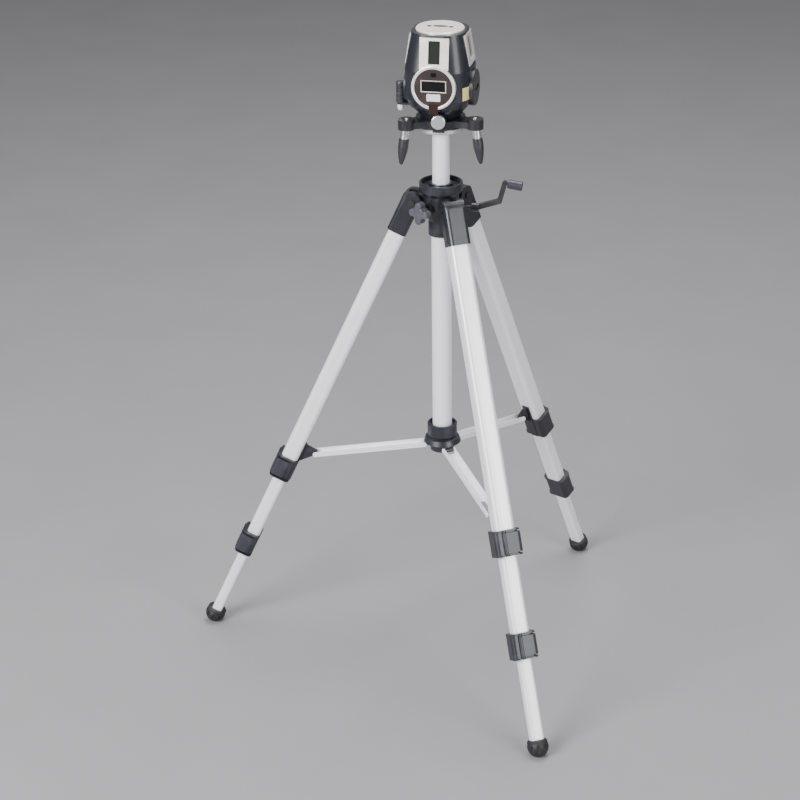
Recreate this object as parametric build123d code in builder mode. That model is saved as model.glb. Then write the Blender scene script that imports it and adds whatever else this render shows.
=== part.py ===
"""Cross-line laser level on a folding three-leg tripod with a geared centre column.

Row frame: +Z up, millimetres. The origin is on the floor, on the tripod's column axis.
The legs are drawn once at azimuth 0 and turned to their own azimuths; the level's head is
drawn facing -Y and turned a little on its base.
"""

from build123d import *
import math
import os

os.makedirs("parts", exist_ok=True)

# Stance
FOOT_CIRCLE = 359.2
LEG_TILT = 24.668
LEG_AZIMUTHS = {"a": -60.0, "b": 180.0, "c": 60.0}
RUN = 0.05  # radial running clearance of every turning or sliding fit
GAP = 0.3  # space left between pieces that pass each other

# Leg, measured up the leg from the point where the foot meets the floor
LEG_PIVOT_S = 764.95
UPPER_START_S = 292.4
UPPER_END_S = 750.0
MIDDLE_START_S = 149.0
MIDDLE_END_S = 528.0
LOWER_START_S = 9.0
LOWER_END_S = 382.0
UPPER_CLAMP_S = 300.4
LOWER_CLAMP_S = 157.0
CLAMP_HEIGHT = 36.4
TUBE_WALL = 1.3
UPPER_TUBE = (25.0, 28.4, 6.5)  # depth, width, corner radius
MIDDLE_TUBE = (19.6, 24.4, 5.5)
LOWER_TUBE = (15.2, 19.2, 4.5)

# Knuckle at the top of a leg
KNUCKLE_START_S = 714.6
KNUCKLE_WIDTH = 31.0
KNUCKLE_INSIDE = 13.2
KNUCKLE_OUTSIDE = 15.2
BARREL_RADIUS = 14.0
LUG_HALF = 5.0
LUG_RADIUS = 9.0
PIVOT_PIN_RADIUS = 2.5

# Shoulder, guide tube and column
COLUMN_RADIUS = 12.0
COLUMN_BOTTOM_Z = 430.0
PLATE_Z = 800.0
PLATE_THICKNESS = 6.0
PLATE_RADIUS = 32.0
GUIDE_RADIUS = 14.0
GUIDE_BOTTOM_Z = 316.0
SLEEVE_BOTTOM_Z = 646.0
GUIDE_TOP_Z = 664.0
RING_TOP_Z = 724.0
RING_RADIUS = 30.5
PIVOT_RADIUS = 39.94
PIVOT_Z = 695.14

# Rack and pinion
MODULE = 1.0
PINION_TEETH = 10
PINION_Z = 682.0
RACK_PITCH_Y = 10.8
TOOTH_THICKNESS = 1.2
TOOTH_HALF_HEIGHT = 0.9
RACK_HALF_WIDTH = 2.6
RACK_BOTTOM_Z = 445.0
RACK_TOP_Z = 735.0

# Spreader
HUB_PIVOT_R = 25.0
HUB_PIVOT_Z = 322.0
BRACE_END_R = 188.0
BRACE_END_Z = 295.0
BRACE_INNER_HALF = 7.0
BRACE_WALL = 1.4
BRACE_HALF_DEPTH = 3.6

# Level
BASE_TURN = 8.5
HEAD_TURN = -3.5
ARM_RADIUS = 54.0
SCREW_LEAN = 9.0
BASE_BOTTOM_Z = PLATE_Z + PLATE_THICKNESS
HEAD_BOTTOM_Z = 819.0
PENDULUM_Z = 908.0

SIN_T = math.sin(math.radians(LEG_TILT))
COS_T = math.cos(math.radians(LEG_TILT))


def save(part, label, turn=0.0):
    """Name a finished piece and write it, each of its solids turned about the column axis."""
    solids = [solid.rotate(Axis.Z, turn) for solid in part.solids()]
    placed = solids[0] if len(solids) == 1 else Compound(solids)
    placed.label = label
    export_step(placed, f"parts/{label}.step")


def leg_section(s, outward=0.0):
    """Plane across the leg: local x outwards, local y sideways, normal up the leg."""
    origin = (FOOT_CIRCLE - s * SIN_T + outward * COS_T, 0, s * COS_T + outward * SIN_T)
    return Plane(origin=origin, x_dir=(COS_T, 0, SIN_T), z_dir=(-SIN_T, 0, COS_T))


def leg_side(s):
    """Plane of the leg's side view: local x outwards, local y up the leg."""
    origin = (FOOT_CIRCLE - s * SIN_T, 0, s * COS_T)
    return Plane(origin=origin, x_dir=(COS_T, 0, SIN_T), z_dir=(0, -1, 0))


def save_leg_piece(part, label):
    """Write one copy of a leg piece for each leg."""
    for leg, azimuth in LEG_AZIMUTHS.items():
        save(part, f"leg_{leg}_{label}", azimuth)


# Leg tubes: extruded aluminium, rounded rectangles with two shallow grooves on the front

def leg_tube(size, start, end):
    depth, width, corner = size
    with BuildPart() as tube:
        with BuildSketch(leg_section(start)):
            RectangleRounded(depth, width, corner)
            RectangleRounded(
                depth - 2 * TUBE_WALL,
                width - 2 * TUBE_WALL,
                corner - TUBE_WALL,
                mode=Mode.SUBTRACT,
            )
            with Locations((depth / 2, width / 5), (depth / 2, -width / 5)):
                Rectangle(0.8, 1.4, mode=Mode.SUBTRACT)
        extrude(amount=end - start)
    return tube


upper_tube = leg_tube(UPPER_TUBE, UPPER_START_S, UPPER_END_S)
save_leg_piece(upper_tube.part, "upper_tube")
middle_tube = leg_tube(MIDDLE_TUBE, MIDDLE_START_S, MIDDLE_END_S)
save_leg_piece(middle_tube.part, "middle_tube")
lower_tube = leg_tube(LOWER_TUBE, LOWER_START_S, LOWER_END_S)
save_leg_piece(lower_tube.part, "lower_tube")

# Knuckle: moulded socket over the upper tube, forked round the shoulder's lug

with BuildPart() as knuckle:
    with BuildSketch(leg_side(LEG_PIVOT_S)):
        with Locations(((KNUCKLE_OUTSIDE - KNUCKLE_INSIDE) / 2, (KNUCKLE_START_S - LEG_PIVOT_S) / 2)):
            Rectangle(KNUCKLE_OUTSIDE + KNUCKLE_INSIDE, LEG_PIVOT_S - KNUCKLE_START_S)
        Circle(BARREL_RADIUS)
    extrude(amount=KNUCKLE_WIDTH / 2, both=True)
    fillet(knuckle.edges().filter_by(Axis((0, 0, 0), (-SIN_T, 0, COS_T))), 6.0)
    # shallow side panels that leave the ribs standing
    for side in (-1, 1):
        with BuildSketch(leg_section(KNUCKLE_START_S + 4)):
            with Locations((KNUCKLE_OUTSIDE - 7.0, side * KNUCKLE_WIDTH / 2)):
                Rectangle(5.0, 1.2)
        extrude(amount=34.0, mode=Mode.SUBTRACT)
    with BuildSketch(leg_section(KNUCKLE_START_S)):
        RectangleRounded(UPPER_TUBE[0], UPPER_TUBE[1], UPPER_TUBE[2])
    extrude(amount=UPPER_END_S - KNUCKLE_START_S, mode=Mode.SUBTRACT)
    with BuildSketch(leg_side(LEG_PIVOT_S)):
        with Locations((-5.2, 7.6)):
            Rectangle(30.0, 35.2)
    extrude(amount=LUG_HALF + GAP, both=True, mode=Mode.SUBTRACT)
    with BuildSketch(leg_side(LEG_PIVOT_S)):
        Circle(PIVOT_PIN_RADIUS + RUN)
    extrude(amount=KNUCKLE_WIDTH, both=True, mode=Mode.SUBTRACT)
save_leg_piece(knuckle.part, "knuckle")

# Clamp: flip-lock housing fixed on the lower end of the outer tube, with its hinge pin

EAR_N = (BRACE_END_R - FOOT_CIRCLE) * COS_T + BRACE_END_Z * SIN_T
EAR_S = -(BRACE_END_R - FOOT_CIRCLE) * SIN_T + BRACE_END_Z * COS_T
EAR_HALF = 2.5
LEVER_THICKNESS = 3.0
LEVER_PIN_RADIUS = 1.5
LEVER_PIN_Y = -5.5
LEVER_BARREL_RADIUS = 3.0
LEVER_END_GAP = 4.0


def clamp(centre, outer_size, inner_size, margin, with_ear):
    depth, width, corner = outer_size
    inside = depth / 2 + 1.5
    outside = depth / 2 + margin - 2.0
    low_side = width / 2 + margin + 0.7
    high_side = low_side - LEVER_THICKNESS - GAP
    bottom = centre - CLAMP_HEIGHT / 2
    lever_room = CLAMP_HEIGHT - 2 * LEVER_END_GAP
    with BuildPart() as housing:
        with BuildSketch(leg_section(bottom)):
            with Locations(((outside - inside) / 2, (high_side - low_side) / 2)):
                RectangleRounded(outside + inside, low_side + high_side, 6.0)
        extrude(amount=CLAMP_HEIGHT)
        # hinge lugs at both ends, with room between them for the lever's barrel
        with BuildSketch(leg_section(bottom)):
            with Locations((outside + 0.8, LEVER_PIN_Y)):
                Circle(LEVER_BARREL_RADIUS)
        extrude(amount=CLAMP_HEIGHT)
        with BuildSketch(leg_section(bottom + LEVER_END_GAP)):
            with Locations((outside + 0.8, LEVER_PIN_Y)):
                Circle(LEVER_BARREL_RADIUS + GAP)
        extrude(amount=lever_room, mode=Mode.SUBTRACT)
        # end rims that stand as high as the closed lever
        for start, height in ((bottom, 2.0), (bottom + CLAMP_HEIGHT - 2.0, 2.0)):
            with BuildSketch(leg_section(start)):
                with Locations(((outside - inside) / 2 + 1.0, 0)):
                    RectangleRounded(outside + inside + 2.0, 2 * low_side, 7.5)
            extrude(amount=height)
        if with_ear:
            with BuildSketch(leg_side(0.0)):
                with BuildLine():
                    Polyline(
                        (-inside + 1.0, EAR_S - 26.0),
                        (EAR_N, EAR_S - 3.4),
                        (EAR_N - 3.0, EAR_S),
                        (EAR_N, EAR_S + 3.4),
                        (-inside + 1.0, EAR_S + 5.0),
                        (-inside + 1.0, EAR_S - 26.0),
                    )
                make_face()
            extrude(amount=EAR_HALF, both=True)
            with BuildSketch(leg_section(bottom)):
                with Locations((-inside + 0.2, 0)):
                    RectangleRounded(2.6, 12.0, 1.2)
            extrude(amount=EAR_S + 5.0 - bottom)
        # pocket of the outer tube, then the throat that the inner tube slides in
        with BuildSketch(leg_section(bottom + 10.0)):
            RectangleRounded(depth, width, corner)
        extrude(amount=80.0, mode=Mode.SUBTRACT)
        with BuildSketch(leg_section(bottom - 1.0)):
            RectangleRounded(inner_size[0] + 2 * RUN, inner_size[1] + 2 * RUN, inner_size[2] + RUN)
        extrude(amount=20.0, mode=Mode.SUBTRACT)
        with BuildSketch(leg_section(bottom)):
            with Locations((outside + 0.8, LEVER_PIN_Y)):
                Circle(LEVER_PIN_RADIUS)
        extrude(amount=CLAMP_HEIGHT, mode=Mode.SUBTRACT)
    with BuildPart() as pin:
        with BuildSketch(leg_section(bottom)):
            with Locations((outside + 0.8, LEVER_PIN_Y)):
                Circle(LEVER_PIN_RADIUS)
        extrude(amount=CLAMP_HEIGHT)
    return Compound([*housing.part.solids(), *pin.part.solids()])


def lever(centre, outer_size, margin):
    depth, width, _ = outer_size
    front = depth / 2 + margin - 2.0 + GAP
    side = width / 2 + margin + 0.7 - LEVER_THICKNESS
    far_end = -6.0
    bottom = centre - CLAMP_HEIGHT / 2 + LEVER_END_GAP + GAP
    height = CLAMP_HEIGHT - 2 * (LEVER_END_GAP + GAP)
    with BuildPart() as flap:
        with BuildSketch(leg_section(bottom)):
            # front plate that turns the corner on to the clamp's side
            with Locations(((front + far_end + LEVER_THICKNESS) / 2, side + LEVER_THICKNESS - 30.0)):
                RectangleRounded(front + LEVER_THICKNESS - far_end, 60.0, 7.0)
            with Locations((front - 30.0, side - 30.0)):
                RectangleRounded(60.0, 60.0, 4.0, mode=Mode.SUBTRACT)
            with Locations((0, LEVER_PIN_Y - 50.0)):
                Rectangle(100.0, 100.0, mode=Mode.SUBTRACT)
            with Locations((front + 0.5, LEVER_PIN_Y)):
                Circle(LEVER_BARREL_RADIUS)
            with Locations((front + 0.5, LEVER_PIN_Y)):
                Circle(LEVER_PIN_RADIUS + RUN, mode=Mode.SUBTRACT)
        extrude(amount=height)
    return flap.part


CLAMPS = {
    "upper": (UPPER_CLAMP_S, UPPER_TUBE, MIDDLE_TUBE, 4.5, True),
    "lower": (LOWER_CLAMP_S, MIDDLE_TUBE, LOWER_TUBE, 5.6, False),
}
for level, (centre, outer_size, inner_size, margin, with_ear) in CLAMPS.items():
    save_leg_piece(clamp(centre, outer_size, inner_size, margin, with_ear), f"{level}_clamp")
    save_leg_piece(lever(centre, outer_size, margin), f"{level}_lever")

# Foot: ribbed rubber ball pressed on the lower tube, worn flat where it stands

FOOT_BALL_RADIUS = 14.5
FOOT_CENTRE_Z = 13.0
FOOT_RIBS = 10

with BuildPart() as foot:
    foot_centre_s = FOOT_CENTRE_Z / COS_T
    with BuildSketch(leg_side(foot_centre_s)):
        with BuildLine():
            Polyline((0, -FOOT_BALL_RADIUS), (0, 10.5), (12.5, 10.5), (14.2, 8.5), (14.2, 5.5))
            ThreePointArc((14.2, 5.5), (11.5, -8.8), (0, -FOOT_BALL_RADIUS))
        make_face()
    revolve(axis=Axis(leg_side(foot_centre_s).origin, leg_section(0).z_dir))
    with PolarLocations(FOOT_BALL_RADIUS, FOOT_RIBS, start_angle=18.0) as rib_places:
        rib_spots = [place.position for place in rib_places.locations]
    with BuildSketch(leg_section(foot_centre_s - 9.0)):
        with Locations(*[(spot.X, spot.Y) for spot in rib_spots]):
            Circle(1.7)
    extrude(amount=13.0, mode=Mode.SUBTRACT)
    with BuildSketch(leg_section(LOWER_START_S)):
        RectangleRounded(*LOWER_TUBE)
    extrude(amount=30.0, mode=Mode.SUBTRACT)
    split(bisect_by=Plane.XY, keep=Keep.TOP)
save_leg_piece(foot.part, "foot")

# Brace: pressed aluminium channel, open upwards, riveted to the spreader hub at its inner end

BRACE_SLOPE = math.atan2(HUB_PIVOT_Z - BRACE_END_Z, BRACE_END_R - HUB_PIVOT_R)
BRACE_LENGTH = math.hypot(HUB_PIVOT_Z - BRACE_END_Z, BRACE_END_R - HUB_PIVOT_R)
BRACE_OUTER_HALF = BRACE_INNER_HALF + BRACE_WALL
RIVET_RADIUS = 2.0
RIVET_HEAD_RADIUS = 3.2
RIVET_HEAD_HEIGHT = 1.0
WEB_END = 8.0
WEB_OUTER_END = 36.0  # the ear swings through here as the leg folds


def brace():
    side = Plane(
        origin=(HUB_PIVOT_R, 0, HUB_PIVOT_Z),
        x_dir=(math.cos(BRACE_SLOPE), 0, -math.sin(BRACE_SLOPE)),
        z_dir=(0, -1, 0),
    )
    with BuildPart() as channel:
        with BuildSketch(side):
            with Locations((BRACE_LENGTH / 2, 0)):
                SlotCenterToCenter(BRACE_LENGTH, 2 * BRACE_HALF_DEPTH)
        extrude(amount=BRACE_OUTER_HALF, both=True)
        with BuildSketch(side):
            with Locations((BRACE_LENGTH / 2, BRACE_WALL)):
                Rectangle(2 * BRACE_LENGTH, 2 * BRACE_HALF_DEPTH)
            with Locations((0, 0)):
                Rectangle(2 * WEB_END, 20)
            with Locations((BRACE_LENGTH, 0)):
                Rectangle(2 * WEB_OUTER_END, 20)
        extrude(amount=BRACE_INNER_HALF, both=True, mode=Mode.SUBTRACT)
        with BuildSketch(side):
            with Locations((0, 0), (BRACE_LENGTH, 0)):
                Circle(RIVET_RADIUS)
        extrude(amount=BRACE_OUTER_HALF, both=True, mode=Mode.SUBTRACT)
    with BuildPart() as rivets:
        with BuildSketch(side):
            Circle(RIVET_RADIUS)
        extrude(amount=BRACE_OUTER_HALF, both=True)
        for face in (-1, 1):
            with BuildSketch(side.offset(face * BRACE_OUTER_HALF)):
                Circle(RIVET_HEAD_RADIUS)
            extrude(amount=face * RIVET_HEAD_HEIGHT)
            with BuildSketch(side.offset(face * BRACE_OUTER_HALF)):
                with Locations((BRACE_LENGTH, 0)):
                    Circle(RIVET_HEAD_RADIUS)
            extrude(amount=face * RIVET_HEAD_HEIGHT)
            with BuildSketch(side.offset(face * BRACE_INNER_HALF)):
                with Locations((BRACE_LENGTH, 0)):
                    Circle(RIVET_RADIUS)
            extrude(amount=face * BRACE_WALL)
    return Compound([*channel.part.solids(), *rivets.part.solids()])


save_leg_piece(brace(), "brace")

# Spreader hub: moulded collar that slides on the guide tube and carries the braces

HUB_SLEEVE_RADIUS = 17.5
HUB_FLANGE_RADIUS = 27.0
HUB_COLLAR_RADIUS = 21.5
HUB_BOTTOM_Z = 315.0
HUB_FLANGE_Z = 327.0
HUB_COLLAR_Z = 335.0
HUB_TOP_Z = 357.0

with BuildPart() as spreader_hub:
    with BuildSketch(Plane.XZ):
        with BuildLine():
            Polyline(
                (GUIDE_RADIUS + RUN, HUB_BOTTOM_Z),
                (HUB_SLEEVE_RADIUS, HUB_BOTTOM_Z),
                (HUB_SLEEVE_RADIUS, HUB_FLANGE_Z),
                (HUB_FLANGE_RADIUS - 1.0, HUB_FLANGE_Z),
                (HUB_FLANGE_RADIUS, HUB_FLANGE_Z + 1.0),
                (HUB_FLANGE_RADIUS - 2.5, HUB_COLLAR_Z),
                (HUB_COLLAR_RADIUS - 1.5, HUB_COLLAR_Z + 1.5),
                (HUB_COLLAR_RADIUS, HUB_COLLAR_Z + 4.0),
                (HUB_COLLAR_RADIUS, HUB_TOP_Z - 1.0),
                (HUB_COLLAR_RADIUS - 1.0, HUB_TOP_Z),
                (HUB_COLLAR_RADIUS - 3.0, HUB_TOP_Z),
                (HUB_COLLAR_RADIUS - 4.0, HUB_TOP_Z - 4.0),
                (GUIDE_RADIUS + RUN, HUB_TOP_Z - 4.0),
                (GUIDE_RADIUS + RUN, HUB_BOTTOM_Z),
            )
        make_face()
    revolve(axis=Axis.Z)
    lug_half = BRACE_INNER_HALF - GAP
    for azimuth in LEG_AZIMUTHS.values():
        radial = Plane.XZ.rotated((0, 0, azimuth))
        with BuildSketch(radial):
            with Locations((HUB_PIVOT_R - 4.5, HUB_FLANGE_Z - 3.0)):
                Rectangle(9.0, 6.0)
            with Locations((HUB_PIVOT_R, HUB_PIVOT_Z)):
                Circle(3.0)
            with Locations((HUB_PIVOT_R, HUB_PIVOT_Z)):
                Circle(RIVET_RADIUS + RUN, mode=Mode.SUBTRACT)
        extrude(amount=lug_half, both=True)
save(spreader_hub.part, "spreader_hub")

# Guide tube: aluminium tube below the shoulder

with BuildPart() as guide_tube:
    with BuildSketch(Plane.XY.offset(GUIDE_BOTTOM_Z)):
        Circle(GUIDE_RADIUS)
        Circle(COLUMN_RADIUS + RUN, mode=Mode.SUBTRACT)
    extrude(amount=GUIDE_TOP_Z - GUIDE_BOTTOM_Z)
save(guide_tube.part, "guide_tube")

# Shoulder: main moulding with the legs' lugs, the crank's gear housing and the lock's boss

PINION_RADIUS = MODULE * PINION_TEETH / 2
PINION_Y = RACK_PITCH_Y + PINION_RADIUS
PINION_HALF_LENGTH = 2.2
PINION_TIP_RADIUS = PINION_RADIUS + TOOTH_HALF_HEIGHT
SHAFT_RADIUS = 2.5
SHAFT_START_X = -12.0
SHAFT_END_X = 50.0
LOCK_AZIMUTH = -120.0
LOCK_Z = 690.0
LOCK_STEM_RADIUS = 3.0

with BuildPart() as shoulder:
    with BuildSketch(Plane.XZ):
        with BuildLine():
            Polyline(
                (0, SLEEVE_BOTTOM_Z),
                (17.0, SLEEVE_BOTTOM_Z),
                (18.0, SLEEVE_BOTTOM_Z + 1.0),
                (18.0, 668.0),
                (25.0, 686.0),
                (25.0, 706.0),
                (29.5, 711.0),
                (RING_RADIUS, 712.0),
                (RING_RADIUS, RING_TOP_Z - 1.0),
                (RING_RADIUS - 1.0, RING_TOP_Z),
                (RING_RADIUS - 3.0, RING_TOP_Z),
                (RING_RADIUS - 4.0, 718.0),
                (17.0, 718.0),
                (16.0, RING_TOP_Z - 1.5),
                (0, RING_TOP_Z - 1.5),
                (0, SLEEVE_BOTTOM_Z),
            )
        make_face()
    revolve(axis=Axis.Z)
    for azimuth in LEG_AZIMUTHS.values():
        radial = Plane.XZ.rotated((0, 0, azimuth))
        with BuildSketch(radial):
            with Locations(((PIVOT_RADIUS + 20.0) / 2, PIVOT_Z)):
                Rectangle(PIVOT_RADIUS - 20.0, 2 * LUG_RADIUS)
            with Locations((PIVOT_RADIUS, PIVOT_Z)):
                Circle(LUG_RADIUS)
        extrude(amount=LUG_HALF, both=True)
        with BuildSketch(radial):
            with Locations((PIVOT_RADIUS, PIVOT_Z)):
                Circle(PIVOT_PIN_RADIUS)
        extrude(amount=LUG_HALF, both=True, mode=Mode.SUBTRACT)
    # gear housing and bearing boss of the crank shaft
    with BuildSketch(Plane.YZ.offset(-9.0)):
        with Locations((PINION_Y, PINION_Z)):
            Circle(9.0)
    extrude(amount=18.0)
    with BuildSketch(Plane.YZ.offset(-13.0)):
        with Locations((PINION_Y, PINION_Z)):
            Circle(5.0)
    extrude(amount=31.0)
    # boss of the lock screw
    with BuildSketch(Plane.YZ.rotated((0, 0, LOCK_AZIMUTH)).offset(20.0)):
        with Locations((0, LOCK_Z)):
            Circle(7.5)
    extrude(amount=12.0)
    with BuildSketch(Plane.XY.offset(SLEEVE_BOTTOM_Z)):
        Circle(GUIDE_RADIUS)
    extrude(amount=GUIDE_TOP_Z - SLEEVE_BOTTOM_Z, mode=Mode.SUBTRACT)
    with BuildSketch(Plane.XY.offset(GUIDE_TOP_Z)):
        Circle(COLUMN_RADIUS + RUN)
    extrude(amount=RING_TOP_Z - GUIDE_TOP_Z, mode=Mode.SUBTRACT)
    with BuildSketch(Plane.YZ.offset(-PINION_HALF_LENGTH - 2.5)):
        with Locations((PINION_Y, PINION_Z)):
            Circle(PINION_TIP_RADIUS + 0.6)
    extrude(amount=2 * PINION_HALF_LENGTH + 5.0, mode=Mode.SUBTRACT)
    with BuildSketch(Plane.YZ.offset(SHAFT_START_X - 0.5)):
        with Locations((PINION_Y, PINION_Z)):
            Circle(SHAFT_RADIUS + RUN)
    extrude(amount=60.0, mode=Mode.SUBTRACT)
    with BuildSketch(Plane.YZ.rotated((0, 0, LOCK_AZIMUTH)).offset(5.0)):
        with Locations((0, LOCK_Z)):
            Circle(LOCK_STEM_RADIUS + RUN)
    extrude(amount=40.0, mode=Mode.SUBTRACT)
save(shoulder.part, "shoulder")

# Leg pivot pins: steel rivets with flat heads, one through each lug

with BuildPart() as leg_pivot_pins:
    for azimuth in LEG_AZIMUTHS.values():
        radial = Plane.XZ.rotated((0, 0, azimuth))
        with BuildSketch(radial):
            with Locations((PIVOT_RADIUS, PIVOT_Z)):
                Circle(PIVOT_PIN_RADIUS)
        extrude(amount=KNUCKLE_WIDTH / 2 + GAP, both=True)
        for face in (-1, 1):
            with BuildSketch(radial.offset(face * (KNUCKLE_WIDTH / 2 + GAP))):
                with Locations((PIVOT_RADIUS, PIVOT_Z)):
                    Circle(4.5)
            extrude(amount=face * 1.4)
save(leg_pivot_pins.part, "leg_pivot_pins")

# Lock knob: four-lobed hand knob on a screw that clamps the column

with BuildPart() as column_lock_knob:
    with BuildSketch(Plane.YZ.offset(COLUMN_RADIUS + 0.5)):
        with Locations((0, LOCK_Z)):
            Circle(LOCK_STEM_RADIUS)
    extrude(amount=30.0)
    with BuildSketch(Plane.YZ.offset(38.0)):
        with Locations((0, LOCK_Z)):
            Circle(7.0)
    extrude(amount=5.0)
    with BuildSketch(Plane.YZ.offset(42.0)):
        with Locations((0, LOCK_Z)):
            Circle(9.5)
            with PolarLocations(10.5, 4):
                Circle(5.2)
    extrude(amount=11.0)
    fillet(column_lock_knob.faces().sort_by(Axis.X)[-1].edges(), 1.5)
save(column_lock_knob.part, "column_lock_knob", LOCK_AZIMUTH)

# Column: aluminium tube slotted for its rack

with BuildPart() as column_tube:
    with BuildSketch(Plane.XY.offset(COLUMN_BOTTOM_Z)):
        Circle(COLUMN_RADIUS)
        Circle(COLUMN_RADIUS - TUBE_WALL, mode=Mode.SUBTRACT)
        with Locations((0, COLUMN_RADIUS)):
            Rectangle(2 * RACK_HALF_WIDTH, 6.0, mode=Mode.SUBTRACT)
    extrude(amount=PLATE_Z - COLUMN_BOTTOM_Z)
save(column_tube.part, "column_tube")

with BuildPart() as column_rack:
    rack_root_y = RACK_PITCH_Y - TOOTH_HALF_HEIGHT - 0.35
    with BuildSketch(Plane.YZ):
        with Locations(((rack_root_y + 7.2) / 2, (RACK_BOTTOM_Z + RACK_TOP_Z) / 2)):
            Rectangle(rack_root_y - 7.2, RACK_TOP_Z - RACK_BOTTOM_Z)
        pitch = math.pi * MODULE
        first = math.ceil((RACK_BOTTOM_Z + pitch - PINION_Z) / pitch)
        last = math.floor((RACK_TOP_Z - pitch - PINION_Z) / pitch)
        tooth_z = [PINION_Z + step * pitch for step in range(first, last + 1)]
        tip = TOOTH_THICKNESS / 2 - TOOTH_HALF_HEIGHT * math.tan(math.radians(20))
        root = TOOTH_THICKNESS / 2 + TOOTH_HALF_HEIGHT * math.tan(math.radians(20))
        with Locations(*[(rack_root_y, z) for z in tooth_z]):
            Polygon(
                (0, -root),
                (RACK_PITCH_Y + TOOTH_HALF_HEIGHT - rack_root_y, -tip),
                (RACK_PITCH_Y + TOOTH_HALF_HEIGHT - rack_root_y, tip),
                (0, root),
                align=None,
            )
    extrude(amount=RACK_HALF_WIDTH, both=True)
save(column_rack.part, "column_rack")

# Crank: shaft with its pinion, bent arm, turning handle

with BuildPart() as crank_shaft:
    with BuildSketch(Plane.YZ.offset(SHAFT_START_X)):
        with Locations((PINION_Y, PINION_Z)):
            Circle(SHAFT_RADIUS)
    extrude(amount=SHAFT_END_X - SHAFT_START_X)
    with BuildSketch(Plane.YZ.offset(-PINION_HALF_LENGTH)):
        with Locations((PINION_Y, PINION_Z)):
            Circle(PINION_RADIUS - TOOTH_HALF_HEIGHT - 0.35)
        half = TOOTH_THICKNESS / 2
        step = 360 / PINION_TEETH
        for tooth in range(PINION_TEETH):
            with Locations(Location((PINION_Y, PINION_Z), 180 + (tooth + 0.5) * step)):
                Polygon(
                    (PINION_RADIUS - 1.6, -half - 0.12),
                    (PINION_RADIUS, -half),
                    (PINION_TIP_RADIUS, -half + 0.3),
                    (PINION_TIP_RADIUS, half - 0.3),
                    (PINION_RADIUS, half),
                    (PINION_RADIUS - 1.6, half + 0.12),
                    align=None,
                )
    extrude(amount=2 * PINION_HALF_LENGTH)
save(crank_shaft.part, "crank_shaft")

ARM_START = (46.0, PINION_Z)
ARM_BEND = (80.0, PINION_Z + 11.0)
ARM_END = (87.0, PINION_Z + 37.0)
ARM_WIDTH = 7.0
KNOB_TILT = 9.0

with BuildPart() as crank_arm:
    with BuildSketch(Plane.XZ.offset(-PINION_Y)):
        with BuildLine():
            Polyline(ARM_START, ARM_BEND, ARM_END)
        trace(line_width=ARM_WIDTH)
        with Locations(ARM_BEND, ARM_END):
            Circle(ARM_WIDTH / 2)
    extrude(amount=ARM_WIDTH / 2, both=True)
    with BuildSketch(Plane.YZ.offset(41.0)):
        with Locations((PINION_Y, PINION_Z)):
            Circle(6.2)
    extrude(amount=10.0)
    knob_axis = (math.cos(math.radians(KNOB_TILT)), 0, -math.sin(math.radians(KNOB_TILT)))
    knob_plane = Plane(origin=(ARM_END[0], PINION_Y, ARM_END[1]), x_dir=(0, 1, 0), z_dir=knob_axis)
    with BuildSketch(knob_plane):
        Circle(2.0)
    extrude(amount=24.0)
    with BuildSketch(Plane.YZ.offset(30.0)):
        with Locations((PINION_Y, PINION_Z)):
            Circle(SHAFT_RADIUS)
    extrude(amount=SHAFT_END_X - 30.0, mode=Mode.SUBTRACT)
save(crank_arm.part, "crank_arm")

with BuildPart() as crank_knob:
    with BuildSketch(knob_plane.offset(4.2)):
        Circle(5.6)
    extrude(amount=2.0)
    with BuildSketch(knob_plane.offset(6.2)):
        Circle(6.5)
    extrude(amount=19.0)
    with BuildSketch(knob_plane.offset(3.0)):
        Circle(2.0 + RUN)
    extrude(amount=21.5, mode=Mode.SUBTRACT)
    fillet(crank_knob.edges().filter_by(GeomType.CIRCLE).sort_by(Axis.X)[-1], 1.8)
save(crank_knob.part, "crank_knob")

# Mounting plate and the screw that holds the level

SCREW_RADIUS = 7.9
with BuildPart() as mounting_plate:
    with BuildSketch(Plane.XY.offset(PLATE_Z)):
        Circle(PLATE_RADIUS)
    extrude(amount=PLATE_THICKNESS)
    chamfer(mounting_plate.edges(), 0.8)
    with BuildSketch(Plane.XY.offset(PLATE_Z)):
        Circle(COLUMN_RADIUS - TUBE_WALL)
    extrude(amount=-20.0)
    with BuildSketch(Plane.XY.offset(PLATE_Z - 8.0)):
        Circle(SCREW_RADIUS)
    extrude(amount=20.0, mode=Mode.SUBTRACT)
save(mounting_plate.part, "mounting_plate")

with BuildPart() as mounting_screw:
    with BuildSketch(Plane.XY.offset(PLATE_Z - 8.0)):
        Circle(SCREW_RADIUS)
    extrude(amount=8.0 + PLATE_THICKNESS + 10.0)
    chamfer(mounting_screw.edges().sort_by(Axis.Z)[-1], 1.0)
save(mounting_screw.part, "mounting_screw")

# Level base: moulded three-armed base with the levelling screws' bosses

BASE_TOP_Z = HEAD_BOTTOM_Z - GAP
SPIGOT_RADIUS = 14.0
ARM_AZIMUTHS = {"a": -30.0, "b": -150.0, "c": 90.0}
SCREW_MID_Z = 817.0
CLAMP_KNOB_AZIMUTH = -94.5
CLAMP_KNOB_Z = 822.5
LOCK_KNOB_PLACE = (-53.0, -13.0)


def screw_side(azimuth):
    """Side plane of a levelling screw: local y runs up the leaning screw."""
    lean = math.radians(SCREW_LEAN)
    middle = Vector(ARM_RADIUS, 0, SCREW_MID_Z).rotate(Axis.Z, azimuth)
    up = Vector(-math.sin(lean), 0, math.cos(lean)).rotate(Axis.Z, azimuth)
    sideways = Vector(0, -1, 0).rotate(Axis.Z, azimuth)
    return Plane(origin=middle, x_dir=up.cross(sideways), z_dir=sideways)


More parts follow.
